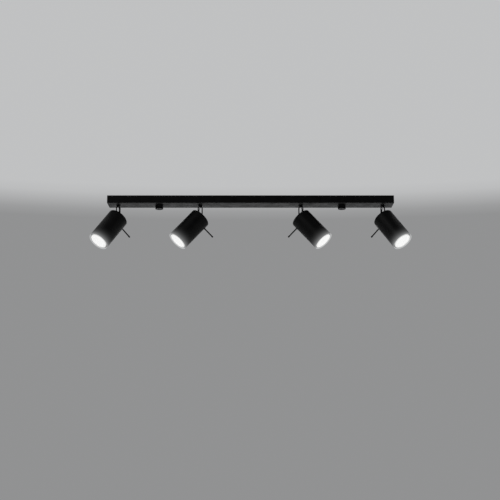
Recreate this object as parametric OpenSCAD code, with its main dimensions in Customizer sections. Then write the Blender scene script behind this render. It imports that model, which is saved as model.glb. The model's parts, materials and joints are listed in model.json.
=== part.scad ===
// Ceiling spotlight bar: a long canopy with four tube heads, each on a wire link that
// swivels under the canopy and tilts on a cross bolt inside the tube.
// Origin: centre of the face that lies on the ceiling. X runs along the bar, Z is up,
// and the room side that the heads look towards is -Y.

/* [Canopy] */
// Length of the canopy along the ceiling
canopy_l = 820; // [680:5:1100]
// Width of the canopy
canopy_w = 60; // [50:1:90]
// Height of the canopy below the ceiling
canopy_h = 22; // [21:0.5:40]
// Sheet thickness of the canopy
canopy_wall = 1.2; // [0.8:0.1:2]
// Outer radius of the canopy's long folded edges
canopy_edge_r = 2.2; // [0.5:0.1:4]

/* [Head places] */
// Distance between the swivels of the two inner heads
inner_spacing = 290; // [240:5:400]
// Distance from the canopy's end to the outer swivel
outer_inset = 29; // [25:1:60]
// Turn of the outer heads from the bar's line towards the room
outer_pan = 40; // [0:1:90]
// Turn of the inner heads from the bar's line towards the room
inner_pan = 21.5; // [0:0.5:90]
// Tilt of the outer heads from straight down
outer_tilt = 39; // [0:1:50]
// Tilt of the inner heads from straight down
inner_tilt = 42.5; // [0:0.5:50]

/* [Head] */
// Length of the tube head, from its rear face to its mouth
shade_l = 102; // [90:1:180]
// Wall of the tube
shade_wall = 1.5; // [1:0.1:2.5]
// Gap between the lamp's rim and the tube
lamp_gap = 3.5; // [1:0.1:8]
// Sheet thickness of the tube's rear cap
cap_t = 1.5; // [1:0.1:2.5]
// Radius of the rear cap's rolled edge
cap_edge_r = 2.5; // [1.6:0.1:4]
// Depth of the tilt bolt below the rear face
pivot_inset = 10; // [8:0.5:14]
// Shift of the tube's axis from the tilt bolt, to the side that it tilts to
tube_shift = 7; // [0:0.5:8]
// Largest tilt from straight down
tilt_max = 50; // [44:1:50]

/* [Link] */
// Distance from the canopy's underside to the tilt bolt
link_drop = 48.2; // [44:0.1:80]
// Distance between the centre lines of the link's two legs
link_w = 12; // [11:0.5:14]
// Thickness of the link's wire
link_wire_d = 3.4; // [2.5:0.1:4]
// Diameter of the collar under the canopy
collar_d = 12; // [11:0.5:18]
// Thickness of that collar
collar_t = 2.5; // [2:0.1:5]
// Diameter of the hollow swivel stud
stud_d = 10; // [9.6:0.1:12]
// Bore of the hollow swivel stud
stud_bore_d = 7.6; // [7:0.1:8]
// Outer diameter of the lamp lead's sleeve
sleeve_d = 2; // [1.6:0.1:2.4]
// Turn of a head each way from its middle position
pan_half = 165; // [90:1:165]

/* [Lever] */
// Distance of the tilt lever from the rear face
lever_inset = 15; // [12:0.5:40]
// Length of the lever outside the tube
lever_l = 33; // [15:1:60]
// Thickness of the lever
lever_d = 3.8; // [2.5:0.1:5]

/* [Lamp] */
// Diameter of the reflector lamp
lamp_d = 50; // [40:1:60]
// Length of the lamp without its pins
lamp_l = 46; // [42:1:60]
// Depth of the lamp's face inside the tube's mouth
lamp_recess = 1; // [0:0.5:15]
// Distance between the lamp's two pins
pin_pitch = 10; // [10:0.5:12]
// Turn that frees the lamp from its holder
lamp_turn = 20; // [15:1:25]

/* [Ceiling bracket] */
// Width of the ceiling bracket
bracket_w = 30; // [24:1:40]
// Thickness of the ceiling bracket
bracket_t = 2; // [1.5:0.1:3]
// Distance between the two ceiling screw slots
slot_spacing = 400; // [200:5:400]
// Length of each ceiling screw slot
slot_l = 14; // [8:1:20]
// Width of each ceiling screw slot
slot_w = 5.2; // [4:0.1:7]
// Diameter of the studs that hold the canopy up
canopy_stud_d = 4; // [3:0.1:6]
// Diameter of the round cap nuts under the canopy
cap_nut_d = 22.5; // [14:0.5:30]
// Height of the cap nuts
cap_nut_h = 11; // [8:0.5:20]
// Bore of the cable entry
entry_d = 13; // [8:0.5:16]

/* [Clearances] */
// Radial gap of a pin or stud that turns in its bore
run_gap = 0.05; // [0.02:0.01:0.1]
// Gap between pieces that only touch lightly
touch_gap = 0.05; // [0.02:0.01:0.1]
// Gap around pieces that move freely
free_gap = 0.6; // [0.4:0.1:1]

/* [Hidden] */
$fn = 64;
HEADS = ["outer_left", "inner_left", "inner_right", "outer_right"];
HEAD_PARTS = [
    "link_arm", "swivel_nut", "lead_sleeve", "shade", "rear_cap", "pivot_yoke",
    "pivot_bolt", "lampholder", "lever_rod", "lamp", "lamp_lens"
];

// Colours
black_paint = [0.035, 0.035, 0.04];
black_plastic = [0.08, 0.08, 0.09];
zinc = [0.72, 0.74, 0.76];
steel = [0.6, 0.61, 0.63];
brass = [0.78, 0.62, 0.3];
white_plastic = [0.9, 0.9, 0.87];
ceramic_white = [0.93, 0.92, 0.88];
lit_white = [1, 1, 0.98];

// Places of the heads, left to right
outer_x = canopy_l / 2 - outer_inset;
inner_x = inner_spacing / 2;
knob_x = (outer_x + inner_x) / 2;
head_x = [-outer_x, -inner_x, inner_x, outer_x];
head_middle = [180, 180, 0, 0];
head_pan = [180 + outer_pan, 180 + inner_pan, -inner_pan, -outer_pan];
head_tilt = [outer_tilt, inner_tilt, inner_tilt, outer_tilt];
// Side of the link that the lamp lead follows
lead_side = [-1, 1, 1, -1];

// Canopy levels, from the ceiling down
floor_z = -canopy_h + canopy_wall;
end_gap = 0.02;

// Swivel stack above the canopy floor
bush_wall = 1;
bush_flange_t = 1;
bush_flange_r = stud_d / 2 + 4;
tab_washer_t = 1;
spring_washer_t = 0.8;
swivel_nut_t = 4;
swivel_nut_af = stud_d + 4;
tab_z = floor_z + bush_flange_t + touch_gap;
spring_z = tab_z + tab_washer_t + touch_gap;
swivel_nut_z = spring_z + spring_washer_t + touch_gap;
stud_top_z = swivel_nut_z + swivel_nut_t + 1.2;
stop_r = 1.2;
stop_path_r = bush_flange_r + stop_r + 0.8;
tab_half_w = 1.2;

// Link, in its own frame with the tilt bolt at the origin
canopy_under = link_drop;
collar_top = canopy_under - 0.1;
collar_bottom = collar_top - collar_t;
wire_r = link_wire_d / 2;
loop_r = link_w / 2;
loop_top = collar_bottom + 0.8 - wire_r - loop_r;
sleeve_r = sleeve_d / 2;
sleeve_out = wire_r + sleeve_r + 0.15;
sleeve_in = loop_r - wire_r - sleeve_r - 0.2;

// Head, in its own frame with the tilt bolt at the origin and the mouth down
rear_z = pivot_inset;
mouth_z = pivot_inset - shade_l;
shade_ir = lamp_d / 2 + lamp_gap;
shade_r = shade_ir + shade_wall;
shade_top_z = rear_z - cap_edge_r - 0.5;
cap_under_z = rear_z - cap_t;
bolt_d = 4;
spacer_r = loop_r - wire_r - run_gap;
washer_t = 1;
washer_r = min(cap_under_z - 1, 7);
washer_y = wire_r + 0.1;
ear_t = 1.8;
ear_y = washer_y + washer_t + touch_gap;
ear_half_w = 5;
link_half = loop_r + wire_r;
slot_half_w = wire_r + 0.8;
slot_low_x = -(link_half + free_gap);
slot_high_x = rear_z * tan(tilt_max) + link_half / cos(tilt_max) + free_gap;

// Lamp and holder, stacked back from the mouth
lamp_face_z = mouth_z + lamp_recess;
lamp_base_z = lamp_face_z + lamp_l;
lamp_base_r = 12;
lens_t = 1.8;
lens_r = lamp_d / 2 - 1.6;
pin_shank_r = 1.5;
pin_shank_l = 3.8;
pin_head_r = 2.5;
pin_head_l = 2.6;
holder_r = 13.5;
holder_face_z = lamp_base_z + 0.4;
holder_l = 19.5;
holder_top_z = holder_face_z + holder_l;
key_gap = 0.35;
key_plate_t = 3;
plate_t = 1.8;

// Lever
lever_z = rear_z - lever_inset;
lever_r = lever_d / 2;

// Ceiling bracket
joggle = 4;
joggle_x = knob_x - 12;
bracket_end_x = knob_x + 14;
stud_head_r = canopy_stud_d * 0.9;
stud_head_h = 2.4;
stud_nut_t = 3.2;
stud_nut_z = -joggle - bracket_t - touch_gap;
stud_in_nut = 6.5;
stud_tip_z = -canopy_h - stud_in_nut;
knob_top_z = -canopy_h - 0.15;
entry_x = 45;
grommet_wall = 4.5;
grommet_flange = 3;
grommet_t = 1.6;

// Terminal block and wiring
block_x = -30;
pole_pitch = 10;
poles = 3;
block_w = 18;
block_h = 12;
block_z = floor_z + touch_gap;
pole_z = block_z + 5.5;
pole_bore_r = 2;
sleeve_len = 14;
screw_y = 4;
screw_r = 1.4;
block_stud_x = block_x + pole_pitch / 2;
block_stud_r = 1.5;
earth_x = -80;
earth_stud_r = 2;
lead_r = 1.1;
drop_r = 0.95;
elbow_swell = 1.06;
lead_z = floor_z + lead_r + touch_gap;
live_y = bracket_w / 2 + 1;
neutral_y = live_y + 3.5;

// A ring, wide in X and Y and thick in Z
module ring(outer, inner, height, z = 0) {
    translate([0, 0, z]) difference() {
        cylinder(r = outer, h = height);
        translate([0, 0, -1]) cylinder(r = inner, h = height + 2);
    }
}

// A hexagonal nut with a plain bore
module hex_nut(across_flats, bore_r, height, z = 0) {
    translate([0, 0, z]) difference() {
        cylinder(d = across_flats / cos(30), h = height, $fn = 6);
        translate([0, 0, -1]) cylinder(r = bore_r, h = height + 2);
    }
}

// A straight round bar from one point to another
module bar(from, to, r) {
    v = to - from;
    len = norm(v);
    translate(from)
        rotate([0, acos(v[2] / len), atan2(v[1], v[0])])
            cylinder(r = r, h = len, $fn = 24);
}

// A lead through a list of points, with round elbows a little fuller than the lead
module lead(points, r) {
    for (i = [0 : len(points) - 2]) bar(points[i], points[i + 1], r);
    for (i = [1 : len(points) - 2]) translate(points[i]) sphere(r = r * elbow_swell, $fn = 24);
}

// A slot through a flat plate, long in X
module slot(length, width, height) {
    reach = (length - width) / 2;
    translate([-reach, -width / 2, 0]) cube([2 * reach, width, height]);
    for (side = [-1, 1]) translate([side * reach, 0, 0]) cylinder(d = width, h = height);
}

// Frames of the moving bodies
module at_stud(i) {
    translate([head_x[i], 0, 0]) rotate([0, 0, head_pan[i]]) children();
}

module at_link(i) {
    translate([head_x[i], 0, -canopy_h - link_drop]) rotate([0, 0, head_pan[i]]) children();
}

module at_head(i) {
    at_link(i) rotate([0, -head_tilt[i], 0]) children();
}

module at_tube(i) {
    at_head(i) translate([tube_shift, 0, 0]) children();
}

// Section of the canopy across the bar, with its two rounded lower edges
module canopy_section(inset) {
    r = max(canopy_edge_r - inset, 0.2);
    half = canopy_w / 2 - inset;
    low = -canopy_h + inset;
    difference() {
        translate([-half, low]) square([2 * half, -low + (inset > 0 ? 1 : 0)]);
        for (side = [-1, 1]) translate([side * half, low]) difference() {
            square(2 * r, center = true);
            translate([-side * r, r]) circle(r = r);
        }
    }
}

module canopy_body(inset) {
    translate([-canopy_l / 2 + inset, 0, 0]) rotate([90, 0, 90])
        linear_extrude(canopy_l - 2 * inset) canopy_section(inset);
}

// Folded steel cover with closed ends, swivel holes, stud holes, turning stops and weld studs
module canopy_housing() {
    color(black_paint) {
        difference() {
            canopy_body(0);
            canopy_body(canopy_wall);
            for (x = head_x) translate([x, 0, -canopy_h - 1])
                cylinder(r = stud_d / 2 + run_gap + bush_wall + touch_gap, h = canopy_wall + 2);
            for (side = [-1, 1]) translate([side * knob_x, 0, -canopy_h - 1])
                cylinder(r = canopy_stud_d / 2 + 0.5, h = canopy_wall + 2);
        }
        for (i = [0 : 3]) translate([head_x[i], 0, floor_z - 0.2]) rotate([0, 0, head_middle[i] + 180])
            translate([stop_path_r, 0, 0]) cylinder(r = stop_r, h = spring_z - floor_z + 0.2);
        translate([block_stud_x, 0, floor_z - 0.2]) cylinder(r = block_stud_r, h = block_h + 3.6);
        translate([earth_x, 0, floor_z - 0.2]) cylinder(r = earth_stud_r, h = 8);
    }
}

// Zinc-plated strip screwed to the ceiling, stepped down at its ends for the stud heads
module ceiling_bracket() {
    half_outline = [
        [joggle_x - joggle, 0], [joggle_x, -joggle], [bracket_end_x, -joggle],
        [bracket_end_x, -joggle - bracket_t], [joggle_x - bracket_t / 2, -joggle - bracket_t],
        [joggle_x - joggle - bracket_t / 2, -bracket_t]
    ];
    mirrored = [for (k = [len(half_outline) - 1 : -1 : 0]) [-half_outline[k][0], half_outline[k][1]]];
    color(zinc) difference() {
        translate([0, bracket_w / 2, 0]) rotate([90, 0, 0]) linear_extrude(bracket_w)
            polygon(concat(half_outline, mirrored));
        for (side = [-1, 1]) {
            translate([side * slot_spacing / 2, 0, -bracket_t - 1]) slot(slot_l, slot_w, bracket_t + 2);
            translate([side * knob_x, 0, -joggle - bracket_t - 1])
                cylinder(r = canopy_stud_d / 2 + touch_gap, h = bracket_t + 2);
        }
        translate([entry_x, 0, -bracket_t - 1]) cylinder(r = entry_d / 2 + grommet_wall, h = bracket_t + 2);
    }
}

// Two pan-head screws that hang from the bracket's ends
module bracket_studs() {
    color(zinc) for (side = [-1, 1]) translate([side * knob_x, 0, 0]) difference() {
        union() {
            translate([0, 0, stud_tip_z]) cylinder(d = canopy_stud_d, h = -joggle - stud_tip_z);
            translate([0, 0, -joggle + end_gap]) cylinder(r = stud_head_r, h = stud_head_h);
            translate([0, 0, -joggle - 0.5]) cylinder(d = canopy_stud_d, h = 0.6);
        }
        translate([-0.5, -stud_head_r - 1, stud_head_h - joggle - 0.9]) cube([1, 2 * stud_head_r + 2, 2]);
    }
}

// The nuts that lock those screws to the bracket
module stud_nuts() {
    color(zinc) for (side = [-1, 1]) translate([side * knob_x, 0, 0])
        hex_nut(canopy_stud_d + 3, canopy_stud_d / 2 + touch_gap, stud_nut_t, stud_nut_z - stud_nut_t);
}

// Flanged nylon bushes that line the four swivel holes
module swivel_bushes() {
    bore_r = stud_d / 2 + run_gap;
    color(black_plastic) for (x = head_x) translate([x, 0, 0]) {
        ring(bore_r + bush_wall, bore_r, canopy_wall + bush_flange_t, -canopy_h);
        ring(bush_flange_r, bore_r, bush_flange_t, floor_z);
    }
}

// Rubber bush around the cable entry, flush with the ceiling
module cable_grommet() {
    hole_r = entry_d / 2 + grommet_wall - touch_gap;
    color(black_plastic) translate([entry_x, 0, 0]) difference() {
        union() {
            translate([0, 0, -bracket_t - end_gap]) cylinder(r = hole_r, h = bracket_t + end_gap);
            translate([0, 0, -bracket_t - grommet_t]) cylinder(r = hole_r + grommet_flange, h = grommet_t - end_gap);
        }
        translate([0, 0, -bracket_t - grommet_t - 1]) cylinder(d = entry_d, h = bracket_t + grommet_t + 2);
    }
}

function pole_x(i) = block_x + (i - (poles - 1) / 2) * pole_pitch;

// Three-pole screw terminal block
module terminal_block() {
    length = poles * pole_pitch - 0.5;
    color(white_plastic) difference() {
        union() {
            translate([block_x - length / 2, -block_w / 2, block_z]) cube([length, block_w, block_h * 0.62]);
            for (i = [0 : poles - 1]) translate([pole_x(i), 0, block_z]) for (side = [-1, 1])
                translate([0, side * screw_y, 0]) cylinder(r = 3.4, h = block_h);
        }
        for (i = [0 : poles - 1]) translate([pole_x(i), 0, 0]) {
            translate([0, block_w / 2 + 1, pole_z]) rotate([90, 0, 0])
                cylinder(r = pole_bore_r, h = block_w + 2);
            for (side = [-1, 1]) translate([0, side * screw_y, pole_z])
                cylinder(r = screw_r + 0.3, h = block_h);
        }
        translate([block_stud_x, 0, block_z - 1]) cylinder(r = block_stud_r + 0.1, h = block_h + 2);
    }
}

// Brass barrels inside the block
module terminal_sleeves() {
    color(brass) for (i = [0 : poles - 1]) translate([pole_x(i), 0, pole_z]) difference() {
        translate([0, sleeve_len / 2, 0]) rotate([90, 0, 0])
            ring(pole_bore_r - touch_gap, 1.4, sleeve_len);
        for (side = [-1, 1]) translate([0, side * screw_y, 0]) cylinder(r = screw_r + touch_gap, h = 4);
    }
}

// Clamping screws, one at each end of each barrel
module terminal_screws() {
    tip = lead_r + 0.1;
    head = block_h - 5.5 - 1.2;
    color(steel) for (i = [0 : poles - 1], side = [-1, 1])
        translate([pole_x(i), side * screw_y, pole_z]) difference() {
            translate([0, 0, tip]) cylinder(r = screw_r, h = head - tip);
            translate([-0.3, -2, head - 0.8]) cube([0.6, 4, 2]);
        }
}

// Nuts on the two weld studs: one holds the terminal block, one the earth tag
module weld_stud_nuts() {
    color(zinc) {
        translate([block_stud_x, 0, 0])
            hex_nut(5.5, block_stud_r + touch_gap, 2.4, block_z + block_h * 0.62 + touch_gap);
        translate([earth_x, 0, 0])
            hex_nut(7, earth_stud_r + touch_gap, 3.2, floor_z + 1 + 2 * touch_gap);
    }
}

// Ring tongue and crimp of the earth lead
module earth_tag() {
    color(brass) translate([earth_x, 0, floor_z + touch_gap]) difference() {
        union() {
            cylinder(r = 4.2, h = 1);
            translate([0, -1.6, 0]) cube([9, 3.2, 1]);
            translate([8, 0, lead_r + 0.7]) rotate([0, 90, 0]) cylinder(r = lead_r + 0.7, h = 6);
        }
        translate([0, 0, -1]) cylinder(r = earth_stud_r + touch_gap, h = 4);
        translate([9, 0, lead_r + 0.7]) rotate([0, 90, 0]) cylinder(r = lead_r + touch_gap, h = 6);
    }
}

// Trunk of one supply lead with a drop to each head and one to its terminal
module supply_lead(y, pole, offset) {
    rise_z = stud_top_z - 1;
    end_z = stud_top_z + 4.4;
    end_x = outer_x + lead_r;
    bar([offset - end_x, y, lead_z], [offset + end_x, y, lead_z], lead_r);
    for (x = head_x)
        lead([[x + offset, y, lead_z], [x + offset, y, rise_z], [x + offset, 3, end_z],
              [x + offset, 0.8, end_z]], drop_r);
    lead([[pole_x(pole), y, lead_z], [pole_x(pole), y, pole_z], [pole_x(pole), 2, pole_z]], drop_r);
}

module live_lead() {
    color("saddlebrown") supply_lead(live_y, 0, -1.3);
}

module neutral_lead() {
    color("royalblue") supply_lead(neutral_y, 2, 1.3);
}

// Earth lead from the tag to the middle terminal
module earth_lead() {
    tag_z = floor_z + touch_gap + lead_r + 0.7;
    run_y = block_w / 2 + 2.8;
    color("yellowgreen") lead([[earth_x + 10, 0, tag_z], [earth_x + 17, 0, tag_z],
        [earth_x + 24, run_y, tag_z], [pole_x(1), run_y, tag_z], [pole_x(1), run_y, pole_z],
        [pole_x(1), 2, pole_z]], lead_r);
}

// Round knurled cap nut with a blind bore
module cap_nut(side) {
    grooves = 36;
    groove_r = 0.45;
    edge = 0.8;
    bore_l = stud_in_nut + 0.8;
    r = cap_nut_d / 2;
    color(black_paint) translate([side * knob_x, 0, knob_top_z]) difference() {
        rotate_extrude() polygon([
            [0, 0], [r - edge / 2, 0], [r, -edge / 2], [r, edge - cap_nut_h],
            [r - edge, -cap_nut_h], [0, -cap_nut_h]
        ]);
        translate([0, 0, -bore_l]) cylinder(r = canopy_stud_d / 2 + run_gap, h = bore_l + 1);
        for (k = [0 : grooves - 1]) rotate([0, 0, k * 360 / grooves])
            translate([r + groove_r * 0.35, 0, 1.6 - cap_nut_h])
                cylinder(r = groove_r, h = cap_nut_h - 3, $fn = 16);
    }
}

// Bent wire link brazed under a hollow stud, with a side hole for the lamp lead
module link_arm(i) {
    stud_top = stud_top_z + canopy_h + link_drop;
    color(black_paint) at_link(i) {
        difference() {
            union() {
                translate([0, 0, collar_bottom]) cylinder(d = collar_d, h = collar_t);
                translate([0, 0, collar_top - 1]) cylinder(d = stud_d, h = stud_top - collar_top + 1);
            }
            translate([0, 0, collar_top]) cylinder(d = stud_bore_d, h = stud_top);
            translate([0, sleeve_out, collar_bottom - 1])
                cylinder(r = sleeve_r + 0.1, h = collar_t + 2);
        }
        difference() {
            union() {
                for (side = [-1, 1]) translate([side * loop_r, 0, 0]) cylinder(r = wire_r, h = loop_top);
                rotate([90, 0, 0]) rotate([0, 0, 180])
                    rotate_extrude(angle = 180) translate([loop_r, 0]) circle(r = wire_r);
                translate([0, 0, loop_top]) rotate([90, 0, 0])
                    rotate_extrude(angle = 180) translate([loop_r, 0]) circle(r = wire_r);
            }
            translate([0, sleeve_out, collar_bottom - 1])
                cylinder(r = sleeve_r + 0.1, h = collar_t + 2);
        }
    }
}

// Tabbed washer, spring washer and nut that hold the stud in the canopy
module swivel_nut(i) {
    bore_r = stud_d / 2 + touch_gap;
    color(zinc) at_stud(i) {
        difference() {
            union() {
                translate([0, 0, tab_z]) cylinder(r = bush_flange_r - 0.6, h = tab_washer_t);
                translate([0, -tab_half_w, tab_z]) cube([stop_path_r + stop_r, 2 * tab_half_w, tab_washer_t]);
            }
            translate([0, 0, tab_z - 1]) cylinder(r = bore_r, h = tab_washer_t + 2);
        }
        ring(stud_d / 2 + 2, bore_r, spring_washer_t, spring_z);
        hex_nut(swivel_nut_af, bore_r, swivel_nut_t, swivel_nut_z);
    }
}

// A smooth step from 0 to 1
function ease(t) = let (u = min(max(t, 0), 1)) u * u * (3 - 2 * u);

// How far the sleeve is still outside the link's plane at height z, from 0 to 1
function sleeve_beside(z) = let (start = 0.2 - 2 * wire_r, full = loop_r - wire_r - sleeve_r + 0.5)
    ease((z - loop_top - start) / (full - start));

// Centre of the sleeve at height z: through the collar's side hole, then down beside one leg
function sleeve_point(z, side) = [
    side * sleeve_in * (1 - sleeve_beside(z)),
    sleeve_out * sleeve_beside(z) * ease((collar_top + 7 - z) / 6),
    z
];

// Sleeve with the lamp's leads, from above the hollow stud down into the head
module lead_sleeve(i) {
    sides = 10;
    rings = 36;
    top = stud_top_z + canopy_h + link_drop + 2.4;
    bottom = spacer_r + sleeve_r + 0.8;
    centres = [for (k = [0 : rings]) sleeve_point(bottom + (top - bottom) * k / rings, lead_side[i])];
    points = [for (c = centres, j = [0 : sides - 1])
        c + sleeve_r * [cos(j * 360 / sides), sin(j * 360 / sides), 0]];
    walls = [for (k = [0 : rings - 1], j = [0 : sides - 1])
        let (a = k * sides, b = (j + 1) % sides) [a + j, a + j + sides, a + b + sides, a + b]];
    ends = [
        [for (j = [0 : sides - 1]) j],
        [for (j = [sides - 1 : -1 : 0]) rings * sides + j]
    ];
    color(black_plastic) at_link(i) polyhedron(points, concat(walls, ends));
}

// Tube of the head, with the lever's hole
module shade(i) {
    color(black_paint) at_tube(i) difference() {
        ring(shade_r, shade_ir, shade_top_z - mouth_z, mouth_z);
        translate([-shade_ir + 5, 0, lever_z]) rotate([0, -90, 0])
            cylinder(r = lever_r + touch_gap, h = shade_wall + 10);
    }
}

// Pressed rear cap with a rolled edge and the link's slot
module rear_cap(i) {
    lip_t = 1.2;
    lip_r = shade_ir - touch_gap;
    slot_mid = (slot_low_x + slot_high_x) / 2 - tube_shift;
    slot_len = slot_high_x - slot_low_x;
    color(black_paint) at_tube(i) difference() {
        rotate_extrude() difference() {
            union() {
                translate([0, shade_top_z + end_gap]) square([shade_r, rear_z - cap_edge_r - shade_top_z - end_gap]);
                translate([0, rear_z - cap_edge_r]) square([shade_r - cap_edge_r, cap_edge_r]);
                translate([shade_r - cap_edge_r, rear_z - cap_edge_r]) intersection() {
                    circle(r = cap_edge_r);
                    square(cap_edge_r + 1);
                }
                translate([0, shade_top_z - 3]) square([lip_r, 4]);
            }
            translate([-1, shade_top_z - 4]) square([lip_r - lip_t + 1, cap_under_z - shade_top_z + 4]);
        }
        translate([slot_mid, 0, cap_under_z - 1]) slot(slot_len, 2 * slot_half_w, cap_t + 2);
    }
}

// U-shaped yoke welded under the cap: it carries the tilt bolt above and the lampholder below
module pivot_yoke(i) {
    plate_z = holder_top_z + touch_gap;
    flange_l = 9;
    color(zinc) at_head(i) difference() {
        union() {
            for (side = [0, 1]) mirror([0, side, 0]) {
                translate([-ear_half_w, ear_y, plate_z])
                    cube([2 * ear_half_w, ear_t, cap_under_z - end_gap - plate_z]);
                translate([-ear_half_w, ear_y, cap_under_z - end_gap - ear_t])
                    cube([2 * ear_half_w, flange_l, ear_t]);
            }
            translate([-ear_half_w, -ear_y - ear_t, plate_z])
                cube([2 * ear_half_w, 2 * (ear_y + ear_t), plate_t]);
            translate([0, 0, plate_z]) intersection() {
                translate([tube_shift, 0, 0]) cylinder(r = holder_r - 1, h = plate_t);
                translate([-ear_half_w, -holder_r, 0])
                    cube([2 * ear_half_w + tube_shift, 2 * holder_r, plate_t]);
            }
        }
        translate([0, ear_y + ear_t + 1, 0]) rotate([90, 0, 0])
            cylinder(r = bolt_d / 2 + touch_gap, h = 2 * (ear_y + ear_t + 1));
        for (side = [-1, 1]) translate([tube_shift, side * 8.5, plate_z - 1])
            cylinder(r = 1.5 + touch_gap, h = plate_t + 2);
    }
}

// Tilt bolt with its nut, two friction washers and the spacer that the link turns on
module pivot_bolt(i) {
    outer_y = ear_y + ear_t + touch_gap;
    gap = touch_gap;
    color(zinc) at_head(i) rotate([90, 0, 0]) {
        translate([0, 0, -outer_y - 4.5]) cylinder(d = bolt_d, h = 2 * outer_y + 4.5 + 0.1);
        difference() {
            translate([0, 0, outer_y]) cylinder(r = bolt_d * 0.9, h = 2.4);
            translate([-0.5, -5, outer_y + 1.6]) cube([1, 10, 2]);
        }
        hex_nut(bolt_d + 3, bolt_d / 2 + gap, 3.2, -outer_y - 3.2);
        ring(spacer_r, bolt_d / 2 + gap, 2 * washer_y - 2 * gap, gap - washer_y);
        for (z = [washer_y, -washer_y - washer_t]) ring(washer_r, bolt_d / 2 + gap, washer_t, z);
    }
}

// A curved key slot that one lamp pin turns in, a little wider at its two ends
module key_slot(half_w, height) {
    r = pin_pitch / 2;
    arc_w = half_w - 0.05;
    rotate_extrude(angle = lamp_turn) translate([r - arc_w, 0]) square([2 * arc_w, height]);
    for (a = [0, lamp_turn]) rotate([0, 0, a]) translate([r, 0, 0]) cylinder(r = half_w, h = height);
}

// Ceramic lampholder with its two moulded-in leads and two fixing screws
module lampholder(i) {
    neck_r = 11;
    neck_l = 8;
    shank_w = pin_shank_r + key_gap;
    head_w = pin_head_r + key_gap;
    color(ceramic_white) at_tube(i) {
        difference() {
            union() {
                translate([0, 0, holder_face_z]) cylinder(r = holder_r, h = holder_l - neck_l);
                translate([0, 0, holder_top_z - neck_l]) cylinder(r = neck_r, h = neck_l);
                for (side = [-1, 1])
                    bar([ear_half_w + 2.5, side * 5, holder_top_z - 2],
                        [ear_half_w + 2.5, side * 5, cap_under_z - 5], lead_r);
            }
            for (side = [0, 180]) rotate([0, 0, side]) translate([0, 0, holder_face_z]) {
                translate([0, 0, -1]) key_slot(shank_w, key_plate_t + 2);
                translate([0, 0, key_plate_t]) key_slot(head_w, pin_head_l + 2 * key_gap + 0.6);
                rotate([0, 0, lamp_turn]) translate([pin_pitch / 2, 0, -1])
                    cylinder(r = head_w + 0.1, h = key_plate_t + 2);
            }
            for (side = [-1, 1]) translate([0, side * 8.5, holder_top_z - 5.5])
                cylinder(r = 1.5 + touch_gap, h = 6);
        }
        for (side = [-1, 1]) translate([0, side * 8.5, 0]) {
            translate([0, 0, holder_top_z - 5]) cylinder(r = 1.5, h = 5 + plate_t + 3 * touch_gap);
            translate([0, 0, holder_top_z + plate_t + 3 * touch_gap]) cylinder(r = 2.6, h = 1.8);
        }
    }
}

// Lever rod through the tube's wall, with its collar, ball end and inside nut
module lever_rod(i) {
    tip_r = lever_r + 0.4;
    inside = 6;
    color(black_paint) at_tube(i) translate([0, 0, lever_z]) rotate([0, -90, 0]) {
        translate([0, 0, shade_ir - inside]) cylinder(r = lever_r, h = inside + shade_wall + lever_l);
        translate([0, 0, shade_r + end_gap]) cylinder(r = lever_r + 1, h = 1.2);
        translate([0, 0, shade_r + lever_l - 3]) cylinder(r = tip_r, h = 3);
        translate([0, 0, shade_r + lever_l]) sphere(r = tip_r);
        hex_nut(lever_d + 2.6, lever_r + touch_gap, 2.4, shade_ir - 3.2);
    }
}

// Reflector lamp with two pins; its face is open for the lens
module lamp(i) {
    r = lamp_d / 2;
    rim_h = 3.5;
    neck_z = lamp_l - 16;
    wall = 1.6;
    color(ceramic_white) at_tube(i) translate([0, 0, lamp_face_z]) {
        difference() {
            rotate_extrude() polygon([
                [0, 0], [r, 0], [r, rim_h], [r - 2.2, rim_h + 6], [r - 6, rim_h + 14],
                [lamp_base_r + 1.5, neck_z], [lamp_base_r, neck_z + 1.5], [lamp_base_r, lamp_l], [0, lamp_l]
            ]);
            translate([0, 0, -1]) cylinder(r = lens_r + touch_gap, h = lens_t + 1 + touch_gap);
            translate([0, 0, lens_t + 0.05])
                cylinder(r1 = lens_r - wall, r2 = 7, h = neck_z - 4);
        }
        for (side = [-1, 1]) translate([side * pin_pitch / 2, 0, lamp_l - 0.5]) {
            cylinder(r = pin_shank_r, h = pin_shank_l + 0.6);
            translate([0, 0, 0.5 + pin_shank_l]) cylinder(r = pin_head_r, h = pin_head_l);
        }
    }
}

// Frosted front lens of the lamp, slightly domed
module lamp_lens(i) {
    dome = 0.7;
    steps = 6;
    profile = [for (k = [0 : steps]) [lens_r * k / steps, dome * pow(k / steps, 2)]];
    color(lit_white) at_tube(i) translate([0, 0, lamp_face_z])
        rotate_extrude() polygon(concat(profile, [[lens_r, lens_t], [0, lens_t]]));
}

module head_part(part, i) {
    if (part == "link_arm") link_arm(i);
    if (part == "swivel_nut") swivel_nut(i);
    if (part == "lead_sleeve") lead_sleeve(i);
    if (part == "shade") shade(i);
    if (part == "rear_cap") rear_cap(i);
    if (part == "pivot_yoke") pivot_yoke(i);
    if (part == "pivot_bolt") pivot_bolt(i);
    if (part == "lampholder") lampholder(i);
    if (part == "lever_rod") lever_rod(i);
    if (part == "lamp") lamp(i);
    if (part == "lamp_lens") lamp_lens(i);
}

canopy_housing();
ceiling_bracket();
bracket_studs();
stud_nuts();
swivel_bushes();
cable_grommet();
terminal_block();
terminal_screws();
terminal_sleeves();
weld_stud_nuts();
earth_tag();
live_lead();
neutral_lead();
earth_lead();
cap_nut(-1);  // cap_nut_left
cap_nut(1);  // cap_nut_right
for (part = HEAD_PARTS, i = [0 : 3])
    head_part(part, i);
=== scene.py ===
"""Ceiling spotlight bar: a black canopy with four tube heads on wire links, lamps lit.

Each visible piece is built here over its CAD node, in the local frame of the joint that moves it,
and every size comes from the CAD nodes' own vertices.
"""

import json
import math

import bmesh
import bpy
from mathutils import Matrix, Vector


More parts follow.
